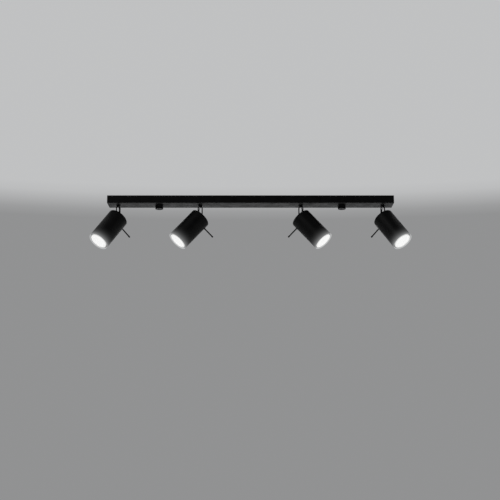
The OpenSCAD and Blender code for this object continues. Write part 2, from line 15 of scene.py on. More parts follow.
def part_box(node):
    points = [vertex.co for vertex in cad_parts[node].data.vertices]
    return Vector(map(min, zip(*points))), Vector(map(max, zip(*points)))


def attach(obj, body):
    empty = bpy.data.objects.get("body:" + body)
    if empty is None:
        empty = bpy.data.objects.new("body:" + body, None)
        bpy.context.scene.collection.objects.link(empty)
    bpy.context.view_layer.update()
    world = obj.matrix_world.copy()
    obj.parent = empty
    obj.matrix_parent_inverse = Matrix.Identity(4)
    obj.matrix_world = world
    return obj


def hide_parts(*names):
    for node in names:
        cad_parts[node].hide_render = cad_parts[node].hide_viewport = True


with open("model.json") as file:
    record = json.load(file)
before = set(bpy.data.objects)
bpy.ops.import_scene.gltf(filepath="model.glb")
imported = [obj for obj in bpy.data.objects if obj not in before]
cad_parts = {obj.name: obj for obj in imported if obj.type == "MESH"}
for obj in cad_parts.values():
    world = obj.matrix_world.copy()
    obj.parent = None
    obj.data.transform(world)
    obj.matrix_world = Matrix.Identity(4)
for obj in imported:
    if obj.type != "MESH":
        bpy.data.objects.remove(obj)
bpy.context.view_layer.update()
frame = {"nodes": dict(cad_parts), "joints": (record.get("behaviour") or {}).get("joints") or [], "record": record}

MM = 0.001
NODES = frame["nodes"]
JOINTS = {joint["name"]: joint for joint in frame["joints"]}
HEADS = [name[len("tilt_"):] for name in JOINTS if name.startswith("tilt_")]


# ---------------------------------------------------------------- camera
def make_camera():
    """The photograph's view: from the room, below the ceiling, looking up at the bar."""
    aside, distance, below = -0.0015, 2.916, 0.769
    pitch = math.radians(11.92)
    data = bpy.data.cameras.new("camera")
    data.lens = 75.1
    data.sensor_width = 36
    data.clip_start, data.clip_end = 0.05, 100
    camera = bpy.data.objects.new("camera", data)
    camera.location = (aside, -distance, -below)
    camera.rotation_euler = (math.pi / 2 + pitch, 0, 0)
    bpy.context.scene.collection.objects.link(camera)
    bpy.context.scene.camera = camera


make_camera()


# ---------------------------------------------------------------- local frames and measures
def basis(x_axis, z_axis, origin):
    """A matrix whose Z is z_axis and whose X lies along x_axis."""
    z = Vector(z_axis).normalized()
    y = z.cross(Vector(x_axis)).normalized()
    x = y.cross(z)
    matrix = Matrix((x, y, z)).transposed().to_4x4()
    matrix.translation = Vector(origin)
    return matrix


def head_frame(head):
    """Origin on the tube's axis beside the tilt bolt, Z to the tube's rear, X on the side it tilts to."""
    tilt, turn = JOINTS[f"tilt_{head}"], JOINTS[f"lamp_turn_{head}"]
    y = -Vector(tilt["axis"])
    z = Vector(turn["axis"])
    on_axis = Vector(turn["pos_m"])
    return basis(y.cross(z), z, on_axis + z * (Vector(tilt["pos_m"]) - on_axis).dot(z))


def link_frame(head):
    """Origin at the tilt bolt, Z up, X on the side that the tube tilts to."""
    tilt = JOINTS[f"tilt_{head}"]
    y = -Vector(tilt["axis"])
    return basis(y.cross(Vector((0, 0, 1))), (0, 0, 1), tilt["pos_m"])


def local_points(node, matrix):
    """A CAD node's vertices in a local frame."""
    inverse = matrix.inverted()
    return [inverse @ v.co for v in NODES[node].data.vertices]


def radial(point):
    return math.hypot(point.x, point.y)


class Measures:
    """Sizes of one head, read from its CAD nodes in the head's own frame."""

    def __init__(self, head):
        self.head = head
        self.frame = head_frame(head)
        self.link = link_frame(head)
        shade = local_points(f"shade_{head}", self.frame)
        cap = local_points(f"rear_cap_{head}", self.frame)
        lever = local_points(f"lever_rod_{head}", self.frame)
        lamp = local_points(f"lamp_{head}", self.frame)
        lens = local_points(f"lamp_lens_{head}", self.frame)
        link = local_points(f"link_arm_{head}", self.link)
        self.mouth = min(p.z for p in shade)
        self.tube_top = max(p.z for p in shade)
        self.outer = max(radial(p) for p in shade)
        self.inner = min(radial(p) for p in shade if p.z < self.mouth + 5 * MM)
        self.rear = max(p.z for p in cap)
        self.cap_lip = min(p.z for p in cap)
        under = [p for p in cap if p.z < self.rear - 0.5 * MM and radial(p) < 0.8 * self.inner]
        self.cap_t = self.rear - max(p.z for p in under)
        slot = [p for p in cap if p.z > self.rear - 0.1 * MM and radial(p) < self.outer * 0.9]
        self.slot_half = max(abs(p.y) for p in slot if abs(p.y) < 6 * MM)
        self.slot_low = min(p.x for p in slot if abs(p.y) < 1.2 * self.slot_half)
        self.slot_high = max(p.x for p in slot if abs(p.y) < 1.2 * self.slot_half)
        self.lever_start, self.lever_end = min(-p.x for p in lever), max(-p.x for p in lever)
        self.lever_r = max(abs(p.y) for p in lever if -p.x < self.lever_start + 0.1 * MM)
        self.lever_z = (max(p.z for p in lever) + min(p.z for p in lever)) / 2
        self.face = min(p.z for p in lamp)
        self.lamp_top = max(p.z for p in lamp)
        self.lamp_r = max(radial(p) for p in lamp)
        self.lamp_base = max(p.z for p in lamp if radial(p) > 0.35 * self.lamp_r)
        self.pin_r = max(p.y for p in lamp if p.z > self.lamp_top - 0.05 * MM)
        self.pin_x = max(p.x for p in lamp if p.z > self.lamp_top - 0.05 * MM) - self.pin_r
        self.pin_head = min(p.z for p in lamp if p.z > self.lamp_base + MM and abs(p.y) > 0.9 * self.pin_r)
        self.lens_r = max(radial(p) for p in lens)
        self.lens_t = max(p.z for p in lens) - self.face
        self.stud_top = max(p.z for p in link)
        self.stud_r = max(radial(p) for p in link if p.z > self.stud_top - 0.5 * MM)
        self.bore_r = min(radial(p) for p in link if p.z > self.stud_top - 0.5 * MM)
        self.collar_top = max(p.z for p in link if radial(p) > self.stud_r + 0.5 * MM)
        self.collar_r = max(radial(p) for p in link if abs(p.z - self.collar_top) < 0.05 * MM)
        self.wire_r = max(p.y for p in link if p.z < -MM)
        self.loop_r = -min(p.z for p in link) - self.wire_r
        self.collar_bottom = min(p.z for p in link if abs(p.y) > 1.2 * self.wire_r
                                 and radial(p) > self.collar_r - 0.1 * MM)
        self.loop_top = max(p.z for p in link if abs(p.x) > self.loop_r + self.wire_r - 0.015 * MM)
        middle = (self.collar_top + self.collar_bottom) / 2
        sleeve = [p for p in local_points(f"lead_sleeve_{head}", self.link) if abs(p.z - middle) < 2.5 * MM]
        self.hole = sum(sleeve, Vector()) / len(sleeve)
        self.hole_r = (max(p.x for p in sleeve) - min(p.x for p in sleeve)) / 2 + 0.1 * MM


# ---------------------------------------------------------------- mesh helpers
def add_object(name, mesh, sharp=30):
    mesh.validate()
    mesh.update()
    mesh.shade_smooth()
    mesh.set_sharp_from_angle(angle=math.radians(sharp))
    piece = bpy.data.objects.new(name, mesh)
    bpy.context.scene.collection.objects.link(piece)
    return piece


def mesh_from(name, verts, faces):
    mesh = bpy.data.meshes.new(name)
    mesh.from_pydata([tuple(v) for v in verts], [], faces)
    return mesh


def arc(cx, cy, r, start, stop, steps):
    """Points of an arc, angles in degrees."""
    turns = [math.radians(start + (stop - start) * k / steps) for k in range(steps + 1)]
    return [(cx + r * math.cos(t), cy + r * math.sin(t)) for t in turns]


def lathe(profile, sides=96, closed=True):
    """Verts and faces of a (radius, height) outline turned about Z; points on the axis become poles."""
    verts, faces, rings = [], [], []
    for r, z in profile:
        if r < 1e-7:
            rings.append([len(verts)])
            verts.append((0, 0, z))
        else:
            rings.append(list(range(len(verts), len(verts) + sides)))
            verts += [(r * math.cos(2 * math.pi * k / sides), r * math.sin(2 * math.pi * k / sides), z)
                      for k in range(sides)]
    pairs = list(zip(rings, rings[1:] + rings[:1])) if closed else list(zip(rings, rings[1:]))
    for a, b in pairs:
        for k in range(sides):
            n = (k + 1) % sides
            if len(a) == 1 and len(b) == 1:
                break
            if len(a) == 1:
                faces.append((a[0], b[n], b[k]))
            elif len(b) == 1:
                faces.append((a[k], a[n], b[0]))
            else:
                faces.append((a[k], a[n], b[n], b[k]))
    return verts, faces


def joined(name, parts):
    """One mesh out of several (verts, faces) islands."""
    verts, faces = [], []
    for part_verts, part_faces in parts:
        base = len(verts)
        verts += [tuple(v) for v in part_verts]
        faces += [tuple(base + i for i in f) for f in part_faces]
    mesh = mesh_from(name, verts, faces)
    bm = bmesh.new()
    bm.from_mesh(mesh)
    bmesh.ops.recalc_face_normals(bm, faces=bm.faces)
    bm.to_mesh(mesh)
    bm.free()
    return mesh


def moved(part, matrix):
    return [matrix @ Vector(v) for v in part[0]], part[1]


def sweep(path, r, sides=20, ring_closed=False):
    """A round tube along a path, with its frames carried along without twist."""
    path = [Vector(p) for p in path]
    count = len(path)
    tangents = []
    for k in range(count):
        a = path[(k - 1) % count] if ring_closed or k > 0 else path[k]
        b = path[(k + 1) % count] if ring_closed or k < count - 1 else path[k]
        tangents.append((b - a).normalized())
    normal = tangents[0].orthogonal().normalized()
    verts, faces = [], []
    for k in range(count):
        normal = (normal - tangents[k] * normal.dot(tangents[k])).normalized()
        side = tangents[k].cross(normal)
        for j in range(sides):
            t = 2 * math.pi * j / sides
            verts.append(path[k] + (normal * math.cos(t) + side * math.sin(t)) * r)
    last = count if ring_closed else count - 1
    for k in range(last):
        for j in range(sides):
            n = (j + 1) % sides
            a, b = k * sides, ((k + 1) % count) * sides
            faces.append((a + j, a + n, b + n, b + j))
    if not ring_closed:
        faces.append(tuple(reversed(range(sides))))
        faces.append(tuple(range((count - 1) * sides, count * sides)))
    return verts, faces


def cut(piece, cutters):
    """Boolean differences, applied."""
    for cutter in cutters:
        modifier = piece.modifiers.new("cut", "BOOLEAN")
        modifier.operation = "DIFFERENCE"
        modifier.solver = "EXACT"
        modifier.object = cutter
    bpy.context.view_layer.update()
    graph = bpy.context.evaluated_depsgraph_get()
    mesh = bpy.data.meshes.new_from_object(piece.evaluated_get(graph))
    old = piece.data
    piece.modifiers.clear()
    piece.data = mesh
    bpy.data.meshes.remove(old)
    for cutter in cutters:
        bpy.data.objects.remove(cutter)
    piece.data.shade_smooth()
    piece.data.set_sharp_from_angle(angle=math.radians(30))
    return piece


def cutter(part):
    return add_object("cutter", joined("cutter", [part]))


def rod_part(r, low, high, sides=48):
    """A plain rod along Z."""
    return lathe([(0, low), (r, low), (r, high), (0, high)], sides, closed=False)


# ---------------------------------------------------------------- material helpers
class Nodes:
    """A short way to build a node material."""

    def __init__(self, name):
        self.material = bpy.data.materials.new(name)
        self.material.use_nodes = True
        self.tree = self.material.node_tree
        self.shader = self.tree.nodes["Principled BSDF"]
        self.coord = self.tree.nodes.new("ShaderNodeTexCoord").outputs["Object"]

    def new(self, kind, **settings):
        node = self.tree.nodes.new(kind)
        for key, value in settings.items():
            setattr(node, key, value)
        return node

    def link(self, a, b):
        self.tree.links.new(a, b)

    def noise(self, scale, detail=4, roughness=0.55, vector=None):
        node = self.new("ShaderNodeTexNoise")
        node.inputs["Scale"].default_value = scale
        node.inputs["Detail"].default_value = detail
        node.inputs["Roughness"].default_value = roughness
        self.link(vector or self.coord, node.inputs["Vector"])
        return node.outputs["Fac"]

    def cells(self, scale):
        """Distance from the nearest of many scattered points."""
        node = self.new("ShaderNodeTexVoronoi")
        node.inputs["Scale"].default_value = scale
        self.link(self.coord, node.inputs["Vector"])
        return node.outputs["Distance"]

    def position(self):
        """X, Y and Z in the piece's own frame."""
        split = self.new("ShaderNodeSeparateXYZ")
        self.link(self.coord, split.inputs[0])
        return split.outputs

    def from_axis(self, place):
        """Distance from the piece's own Z axis."""
        squares = [self.math("POWER", place[axis], 2.0) for axis in ("X", "Y")]
        return self.math("SQRT", self.math("ADD", *squares))

    def stretched(self, scale):
        node = self.new("ShaderNodeMapping")
        node.inputs["Scale"].default_value = scale
        self.link(self.coord, node.inputs["Vector"])
        return node.outputs["Vector"]

    def map(self, value, low, high, to_low, to_high):
        node = self.new("ShaderNodeMapRange", clamp=True)
        for key, number in (("From Min", low), ("From Max", high), ("To Min", to_low), ("To Max", to_high)):
            node.inputs[key].default_value = number
        self.link(value, node.inputs["Value"])
        return node.outputs["Result"]

    def math(self, operation, a, b=None):
        node = self.new("ShaderNodeMath", operation=operation)
        for slot, value in enumerate((a, b)):
            if value is None:
                continue
            if isinstance(value, (int, float)):
                node.inputs[slot].default_value = value
            else:
                self.link(value, node.inputs[slot])
        return node.outputs[0]

    def mix(self, factor, a, b):
        node = self.new("ShaderNodeMix", data_type="RGBA")
        for socket, value in ((node.inputs["Factor"], factor), (node.inputs[6], a), (node.inputs[7], b)):
            if isinstance(value, (int, float)):
                socket.default_value = value
            elif isinstance(value, tuple):
                socket.default_value = (*value, 1)
            else:
                self.link(value, socket)
        return node.outputs[2]

    def edge_wear(self, radius, noise_scale):
        """White along sharp edges, broken up by noise: where the bevelled normal leaves the true one."""
        bevel = self.new("ShaderNodeBevel", samples=6)
        bevel.inputs["Radius"].default_value = radius
        geometry = self.new("ShaderNodeNewGeometry")
        dot = self.new("ShaderNodeVectorMath", operation="DOT_PRODUCT")
        self.link(bevel.outputs["Normal"], dot.inputs[0])
        self.link(geometry.outputs["Normal"], dot.inputs[1])
        edge = self.map(dot.outputs["Value"], 0.995, 0.85, 0, 1)
        patches = self.map(self.noise(noise_scale, 5, 0.6), 0.52, 0.62, 0, 1)
        return self.math("MULTIPLY", edge, patches)

    def bump(self, height, strength, distance):
        node = self.new("ShaderNodeBump")
        node.inputs["Strength"].default_value = strength
        node.inputs["Distance"].default_value = distance
        self.link(height, node.inputs["Height"])
        self.link(node.outputs["Normal"], self.shader.inputs["Normal"])

    def put(self, socket, value):
        if isinstance(value, (int, float)):
            self.shader.inputs[socket].default_value = value
        elif isinstance(value, tuple):
            self.shader.inputs[socket].default_value = (*value, 1) if len(value) == 3 else value
        else:
            self.link(value, self.shader.inputs[socket])


def powder_coat(name, tone=0.0065, grain=2600, wear=0.35, painted_glow=None):
    """Satin black powder coat: fine orange peel, faint dust, and bare grey where edges rub.

    The last argument, if given, is (mouth height, reach, inner radius, outer radius, strength): a painted glow,
    emission in the paint that stands in for lamp light spilling from a lit mouth over the tube's inside and lip
    and a little way back along its outside.
    """
    n = Nodes(name)
    peel = n.noise(grain, 3, 0.5)
    broad = n.noise(38, 4, 0.6)
    cloud = n.map(broad, 0.3, 0.7, 0.85, 1.2)
    deep, pale = (tone, tone, tone * 1.06), (tone * 1.7, tone * 1.7, tone * 1.8)
    base = n.mix(n.map(broad, 0.35, 0.7, 0, 1), deep, pale)
    dust = n.map(n.cells(900), 0.06, 0.0, 0, 0.06)
    base = n.mix(dust, base, (0.18, 0.18, 0.18))
    worn = n.math("MULTIPLY", n.edge_wear(0.0004, 420), wear)
    n.put("Base Color", n.mix(worn, base, (0.11, 0.11, 0.115)))
    rough = n.math("MULTIPLY", n.map(peel, 0.3, 0.7, 0.44, 0.54), cloud)
    n.put("Roughness", n.math("SUBTRACT", rough, n.math("MULTIPLY", worn, 0.12)))
    n.put("Specular IOR Level", 0.32)
    n.bump(n.math("ADD", peel, n.math("MULTIPLY", n.noise(grain * 0.35, 2, 0.5), 0.8)), 0.22, 0.00006)
    # painted glow: emission on the tube's paint, strongest at the mouth and on the inside, standing in for spilt
    # lamp light
    if painted_glow:
        mouth, reach, inner, outer, strength = painted_glow
        place = n.position()
        falloff = n.math("POWER", n.map(place["Z"], mouth + reach, mouth, 0, 1), 7.0)
        inside = n.map(n.from_axis(place), outer, inner, 1.0, 2.4)
        n.put("Emission Color", (0.98, 0.99, 1.0))
        n.put("Emission Strength", n.math("MULTIPLY", n.math("MULTIPLY", falloff, inside), strength))
    return n.material


def plated_steel(name, colour=(0.56, 0.57, 0.58), roughness=0.34, warm=0.1, scale=180):
    """Zinc plate: pale blue-grey metal with faint rainbow patches, scratches and dull spots."""
    n = Nodes(name)
    patch = n.noise(scale * 0.25, 5, 0.6)
    tinted = tuple(c * f for c, f in zip(colour, (1 + warm, 1.0, 1 - warm * 0.8)))
    n.put("Base Color", n.mix(n.map(patch, 0.4, 0.65, 0, 1), colour, tinted))
    n.put("Metallic", 1.0)
    scratch = n.noise(scale * 3, 6, 0.7, n.stretched((1, 9, 9)))
    n.put("Roughness", n.math("ADD", n.map(scratch, 0.3, 0.7, -0.09, 0.1), roughness))
    n.bump(n.math("ADD", scratch, n.math("MULTIPLY", n.noise(scale * 8, 3), 0.5)), 0.12, 0.00005)
    return n.material


def moulded(name, colour, roughness=0.42, grain=1800, spread=0.14, sheen=0.0):
    """Moulded plastic, rubber or cable jacket with a fine spark-eroded grain."""
    n = Nodes(name)
    broad = n.noise(60, 4, 0.6)
    dark = tuple(c * (1 - spread) for c in colour)
    light = tuple(min(1, c * (1 + spread)) for c in colour)
    n.put("Base Color", n.mix(n.map(broad, 0.3, 0.7, 0, 1), dark, light))
    fine = n.noise(grain, 3, 0.55)
    n.put("Roughness", n.map(fine, 0.3, 0.7, roughness - 0.07, roughness + 0.08))
    n.put("Sheen Weight", sheen)
    n.bump(fine, 0.2, 0.00005)
    return n.material


def striped(name, first, second, scale):
    """Two-colour cable jacket with diagonal stripes."""
    n = Nodes(name)
    wave = n.new("ShaderNodeTexWave", wave_type="BANDS", bands_direction="DIAGONAL")
    wave.inputs["Scale"].default_value = scale
    n.link(n.coord, wave.inputs["Vector"])
    n.put("Base Color", n.mix(n.map(wave.outputs["Fac"], 0.42, 0.5, 0, 1), first, second))
    fine = n.noise(1700, 3)
    n.put("Roughness", n.map(fine, 0.3, 0.7, 0.36, 0.48))
    n.bump(fine, 0.15, 0.00004)
    return n.material


def glazed_ceramic(name):
    """Off-white steatite: speckled body under a thin uneven glaze."""
    n = Nodes(name)
    specks = n.map(n.cells(650), 0.09, 0.0, 0, 0.3)
    broad = n.map(n.noise(90, 5, 0.6), 0.35, 0.65, 0, 1)
    body = n.mix(broad, (0.74, 0.71, 0.63), (0.82, 0.8, 0.74))
    n.put("Base Color", n.mix(specks, body, (0.42, 0.36, 0.27)))
    n.put("Roughness", n.map(broad, 0, 1, 0.2, 0.36))
    n.put("Coat Weight", 0.3)
    n.put("Coat Roughness", 0.12)
    n.bump(n.noise(420, 4), 0.25, 0.00008)
    return n.material


def lamp_shell(name, face, radius):
    """The lamp's white body: satin plastic with a painted glow near its rim, emission that stands in for the
    lens's light scattering into it.
    """
    n = Nodes(name)
    broad = n.map(n.noise(70, 4), 0.3, 0.7, 0, 1)
    n.put("Base Color", n.mix(broad, (0.74, 0.74, 0.72), (0.82, 0.82, 0.8)))
    fine = n.noise(1500, 3)
    n.put("Roughness", n.map(fine, 0.3, 0.7, 0.3, 0.42))
    n.put("Coat Weight", 0.15)
    n.bump(fine, 0.15, 0.00005)
    # painted glow: emission rising towards the lamp's face, standing in for the lens's light in the rim
    near = n.map(n.position()["Z"], face + 0.2 * radius, face, 0, 1)
    n.put("Emission Color", (1.0, 0.995, 0.985))
    n.put("Emission Strength", n.math("MULTIPLY", n.math("POWER", near, 3.0), 0.55))
    return n.material


def lit_lens(name, radius):
    """Frosted lens, lit: even across, a little dimmer at the rim, with a prism texture."""
    n = Nodes(name)
    strength = 0.82
    across = n.math("DIVIDE", n.from_axis(n.position()), radius)
    cells = n.cells(520)
    fade = n.map(across, 0.85, 1.0, 1.0, 0.8)
    texture = n.map(cells, 0.0, 0.6, 1.02, 0.92)
    n.put("Base Color", n.mix(n.map(cells, 0, 0.7, 0, 1), (0.86, 0.87, 0.88), (0.74, 0.75, 0.77)))
    n.put("Roughness", n.map(n.noise(1400, 3), 0.3, 0.7, 0.42, 0.58))
    n.put("Emission Color", (1.0, 0.995, 0.985))
    n.put("Emission Strength", n.math("MULTIPLY", n.math("MULTIPLY", fade, texture), strength))
    n.bump(cells, 0.35, 0.0002)
    return n.material


# ---------------------------------------------------------------- canopy
def tray_outline(half, low, r):
    """Open outline across the canopy, down one side, under and up the other; top left out."""
    steps = 10
    left = [(-x, z) for x, z in arc(half - r, low + r, r, 0, -90, steps)]
    right = arc(half - r, low + r, r, -90, 0, steps)
    return [(-half, 0)] + left + right + [(half, 0)]


def prism_x(outline, x0, x1, chamfer):
    """A closed outline in (y, z) extruded along X, with chamfered end edges."""
    centre_y = sum(p[0] for p in outline) / len(outline)
    centre_z = (min(p[1] for p in outline) + max(p[1] for p in outline)) / 2
    half_y = max(abs(p[0] - centre_y) for p in outline)
    half_z = max(abs(p[1] - centre_z) for p in outline)
    shrunk = [(centre_y + (y - centre_y) * (1 - chamfer / half_y),
               centre_z + (z - centre_z) * (1 - chamfer / half_z)) for y, z in outline]
    rings = [(x0, shrunk), (x0 + chamfer, outline), (x1 - chamfer, outline), (x1, shrunk)]
    verts = [(x, y, z) for x, ring in rings for y, z in ring]
    n = len(outline)
    faces = [tuple(range(n))]
    for k in range(len(rings) - 1):
        a, b = k * n, (k + 1) * n
        faces += [(a + j, a + (j + 1) % n, b + (j + 1) % n, b + j) for j in range(n)]
    faces.append(tuple(reversed(range((len(rings) - 1) * n, len(rings) * n))))
    return verts, faces


def pan_points():
    return [Vector(JOINTS[f"pan_{head}"]["pos_m"]) for head in HEADS]


def nut_points():
    return [Vector(joint["pos_m"]) for name, joint in JOINTS.items() if name.startswith("cap_nut")]


def make_canopy(material):
    """Folded sheet channel with two welded end plates, swivel holes, stops and weld studs."""
    low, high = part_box("canopy_housing")
    points = [v.co for v in NODES["canopy_housing"].data.vertices]
    half_l, half_w, bottom = high.x, high.y, low.z
    top_rim = [abs(p.y) for p in points if p.z > high.z - 0.01 * MM]
    wall = half_w - max(y for y in top_rim if y < half_w - 0.3 * MM)
    outer_r, rim = 2.2 * MM, 0.3 * MM
    outer = tray_outline(half_w, bottom, outer_r)
    inner = tray_outline(half_w - wall, bottom + wall, outer_r - wall)
    section = ([(-half_w, -rim), (-half_w + rim, 0), (-half_w + wall - rim, 0)]
               + [(inner[0][0], -rim)] + inner[1:-1] + [(inner[-1][0], -rim)]
               + [(half_w - wall + rim, 0), (half_w - rim, 0), (half_w, -rim)]
               + list(reversed(outer[1:-1])))
    plate = [(-half_w, -rim), (-half_w + rim, 0), (half_w - rim, 0), (half_w, -rim)]
    plate += list(reversed(outer[1:-1]))
    parts = [prism_x(section, -half_l + wall, half_l - wall, 0.12 * MM)]
    for side in (-1, 1):
        ends = sorted((side * half_l, side * (half_l - wall)))
        parts.append(prism_x(plate, ends[0], ends[1], 0.3 * MM))
    canopy = add_object("canopy", joined("canopy", parts[:1]))
    swivel, knob = pan_points()[0], nut_points()[0]
    flanges = [v.co for v in NODES["swivel_bushes"].data.vertices if v.co.z < bottom + 0.3 * MM]
    bush = [abs(p.x - swivel.x) for p in flanges]
    bush_r = max(x for x in bush if x < 20 * MM) + 0.05 * MM
    stud = [(p.xy - knob.xy).length for p in points if p.z < bottom + 0.05 * MM]
    stud_r = max(x for x in stud if x < 12 * MM)
    holes = []
    for r, places in ((bush_r, pan_points()), (stud_r, nut_points())):
        rod = rod_part(r, bottom - 3 * MM, bottom + 4 * MM)
        holes += [cutter(moved(rod, Matrix.Translation((p.x, p.y, 0)))) for p in places]
    cut(canopy, holes)
    inside = canopy_fittings(points, bottom + wall, half_w - wall)
    ends = add_object("canopy_end_plates", joined("canopy_end_plates", parts[1:]))
    fittings = add_object("canopy_weld_studs", joined("canopy_weld_studs", inside))
    for piece in (canopy, ends, fittings):
        piece.data.materials.clear()
        piece.data.materials.append(material)
        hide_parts("canopy_housing")
        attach(piece, "canopy")


def canopy_fittings(points, floor, inner_half):
    """Weld studs and turning stops: every column of CAD points that stands off the canopy's floor."""
    tops = [p for p in points if p.z > floor + 0.5 * MM and abs(p.y) < inner_half - 5 * MM]
    groups = []
    for p in tops:
        for group in groups:
            if abs(group[0].x - p.x) < 6 * MM and abs(group[0].y - p.y) < 6 * MM:
                group.append(p)
                break
        else:
            groups.append([p])
    parts = []
    for group in groups:
        xs, ys = [p.x for p in group], [p.y for p in group]
        centre = Vector(((min(xs) + max(xs)) / 2, (min(ys) + max(ys)) / 2, 0))
        r = (max(xs) - min(xs)) / 2
        top = max(p.z for p in group)
        profile = [(0, floor - 0.4 * MM), (r + 0.5 * MM, floor - 0.4 * MM),
                   (r + 0.5 * MM, floor + 0.15 * MM), (r, floor + 0.6 * MM), (r, top - 0.3 * MM),
                   (r - 0.3 * MM, top), (0, top)]
        parts.append(moved(lathe(profile, 40, closed=False), Matrix.Translation(centre)))
    return parts


# ---------------------------------------------------------------- cap nuts
def ring_profile(points, sides, radius_at):
    """Turned outline whose radius may vary round the axis: radius_at(r, z, angle)."""
    verts, faces = [], []
    for r, z in points:
        for k in range(sides):
            t = 2 * math.pi * k / sides
            rr = radius_at(r, z, t)
            verts.append((rr * math.cos(t), rr * math.sin(t), z))
    for j in range(len(points) - 1):
        for k in range(sides):
            n = (k + 1) % sides
            faces.append((j * sides + k, j * sides + n, (j + 1) * sides + n, (j + 1) * sides + k))
    faces.append(tuple(range(sides)))
    faces.append(tuple(reversed(range((len(points) - 1) * sides, len(points) * sides))))
    return verts, faces


def make_cap_nut(side, material):
    """Knob with a fine straight knurl, chamfered ends, a shallow dish below and a blind bore above."""
    node = f"cap_nut_{side}"
    joint = next(j for j in JOINTS.values() if j["child"] == node)
    low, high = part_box(node)
    r, top, bottom = (high.x - low.x) / 2, high.z, low.z
    grooves, depth = 40, 0.32 * MM
    centre = joint["pos_m"][0]
    points = [(math.hypot(v.co.x - centre, v.co.y), v.co.z) for v in NODES[node].data.vertices]
    bore = min(off for off, z in points if z > top - 0.05 * MM)
    bore_end = min(z for off, z in points if off < bore + 0.1 * MM and z > bottom + MM)

    def knurl(radius, z, t):
        if radius < r - 0.05 * MM or z < bottom + 1.2 * MM or z > top - 1.0 * MM:
            return radius
        return radius - depth * (0.5 + 0.5 * math.cos(t * grooves)) ** 1.5

    outline = [(bore, bore_end), (bore, top - 0.3 * MM), (bore + 0.3 * MM, top), (r - 0.6 * MM, top),
               (r - 0.15 * MM, top - 0.25 * MM), (r, top - 0.7 * MM), (r, top - 0.95 * MM),
               (r, top - 1.25 * MM), (r, bottom + 1.75 * MM), (r, bottom + 1.15 * MM), (r, bottom + 0.9 * MM)]
    outline += [(x, z) for x, z in arc(r - 0.8 * MM, bottom + 0.8 * MM, 0.8 * MM, 0, -90, 6)]
    outline += [(r - 2.2 * MM, bottom), (r - 2.6 * MM, bottom + 0.25 * MM), (r * 0.3, bottom + 0.4 * MM),
                (r * 0.05, bottom + 0.42 * MM)]
    part = moved(ring_profile(outline, grooves * 8, knurl), Matrix.Translation((centre, 0, 0)))
    nut = add_object(f"knob_{side}", joined(f"knob_{side}", [part]), sharp=38)
    nut.data.materials.append(material)
    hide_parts(node)
    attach(nut, node)


# ---------------------------------------------------------------- links
def make_link(m, material):
    """Wire loop brazed under the collar of a hollow threaded stud."""
    head = m.head
    wire_r, loop_r, loop_top = m.wire_r, m.loop_r, m.loop_top
    path = [(x, 0, z) for x, z in arc(0, 0, loop_r, 180, 360, 20)]
    path += [(loop_r, 0, loop_top * k / 4) for k in (1, 2, 3)]
    path += [(x, 0, z) for x, z in arc(0, loop_top, loop_r, 0, 180, 20)]
    path += [(-loop_r, 0, loop_top * k / 4) for k in (3, 2, 1)]
    wire = sweep(path, wire_r, 28, ring_closed=True)
    c, e = m.collar_r, 0.35 * MM
    thread_low, pitch, groove = m.stud_top - 8 * MM, 1.0 * MM, 0.3 * MM
    outside = [(m.stud_r, m.collar_top)]
    z = thread_low
    while z < m.stud_top - pitch:
        outside += [(m.stud_r, z), (m.stud_r - groove, z + 0.42 * pitch),
                    (m.stud_r - groove, z + 0.58 * pitch)]
        z += pitch
    outside += [(m.stud_r, z), (m.stud_r - 0.5 * MM, m.stud_top)]
    profile = [(0, m.collar_bottom), (c - e, m.collar_bottom), (c, m.collar_bottom + e),
               (c, m.collar_top - e), (c - e, m.collar_top)] + outside
    profile += [(m.bore_r, m.stud_top), (m.bore_r, m.collar_top), (0, m.collar_top)]
    stud = lathe(profile, 96, closed=False)
    link = add_object(f"link_{head}_stud", joined("stud", [stud]), sharp=28)
    cut(link, [cutter(moved(rod_part(m.hole_r, m.collar_bottom - MM, m.collar_top + MM),
                            Matrix.Translation((m.hole.x, m.hole.y, 0))))])
    blobs = []
    for side in (-1, 1):
        fillet = [(0.0, -0.2), (1.15, -0.1), (1.35, 0.15), (1.15, 0.5), (0.0, 0.7)]
        ball = lathe([(r * wire_r, z * wire_r) for r, z in fillet], 24, closed=False)
        turn = Matrix.Translation((side * 0.38 * loop_r, 0, m.collar_bottom - 0.25 * wire_r))
        blobs.append(moved(ball, turn @ Matrix.Diagonal((1.5, 1.05, 1.0, 1.0))))
    wire_mesh = joined("link_wire", [wire] + blobs)
    loop = add_object(f"link_{head}_loop", wire_mesh, sharp=50)
    for piece in (link, loop):
        piece.matrix_world = m.link
        piece.data.materials.append(material)
        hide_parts(f"link_arm_{head}")
        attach(piece, f"swivel_{head}")


# ---------------------------------------------------------------- tubes
def make_shade(m, material):
    """Drawn tube with a rounded mouth edge, a shadow line at its top and the lever's hole."""
    o, i, lip = m.outer, m.inner, 0.42 * MM
    z0, z1 = m.mouth, m.tube_top
    outline = [(x, z) for x, z in arc(o - lip, z0 + lip, lip, 0, -90, 5)]
    outline += [(x, z) for x, z in arc(i + lip, z0 + lip, lip, -90, -180, 5)]
    outline += [(i, z0 + 6 * MM), (i, (z0 + z1) / 2), (i, z1 - 0.2 * MM), (i + 0.2 * MM, z1),
                (o - 0.35 * MM, z1), (o, z1 - 0.35 * MM), (o, z1 - 3 * MM)]
    outline += [(o, z0 + (z1 - z0) * k / 8) for k in (7, 6, 5, 4, 3, 2, 1)]
    shade = add_object(f"tube_{m.head}", joined("tube", [lathe(outline, 160)]), sharp=28)
    turn = Matrix.Translation((0, 0, m.lever_z)) @ Matrix.Rotation(-math.pi / 2, 4, "Y")
    cut(shade, [cutter(moved(rod_part(m.lever_r + 0.05 * MM, i - 4 * MM, o + 4 * MM, 32), turn))])
    finish_head_piece(shade, m, material, f"shade_{m.head}")


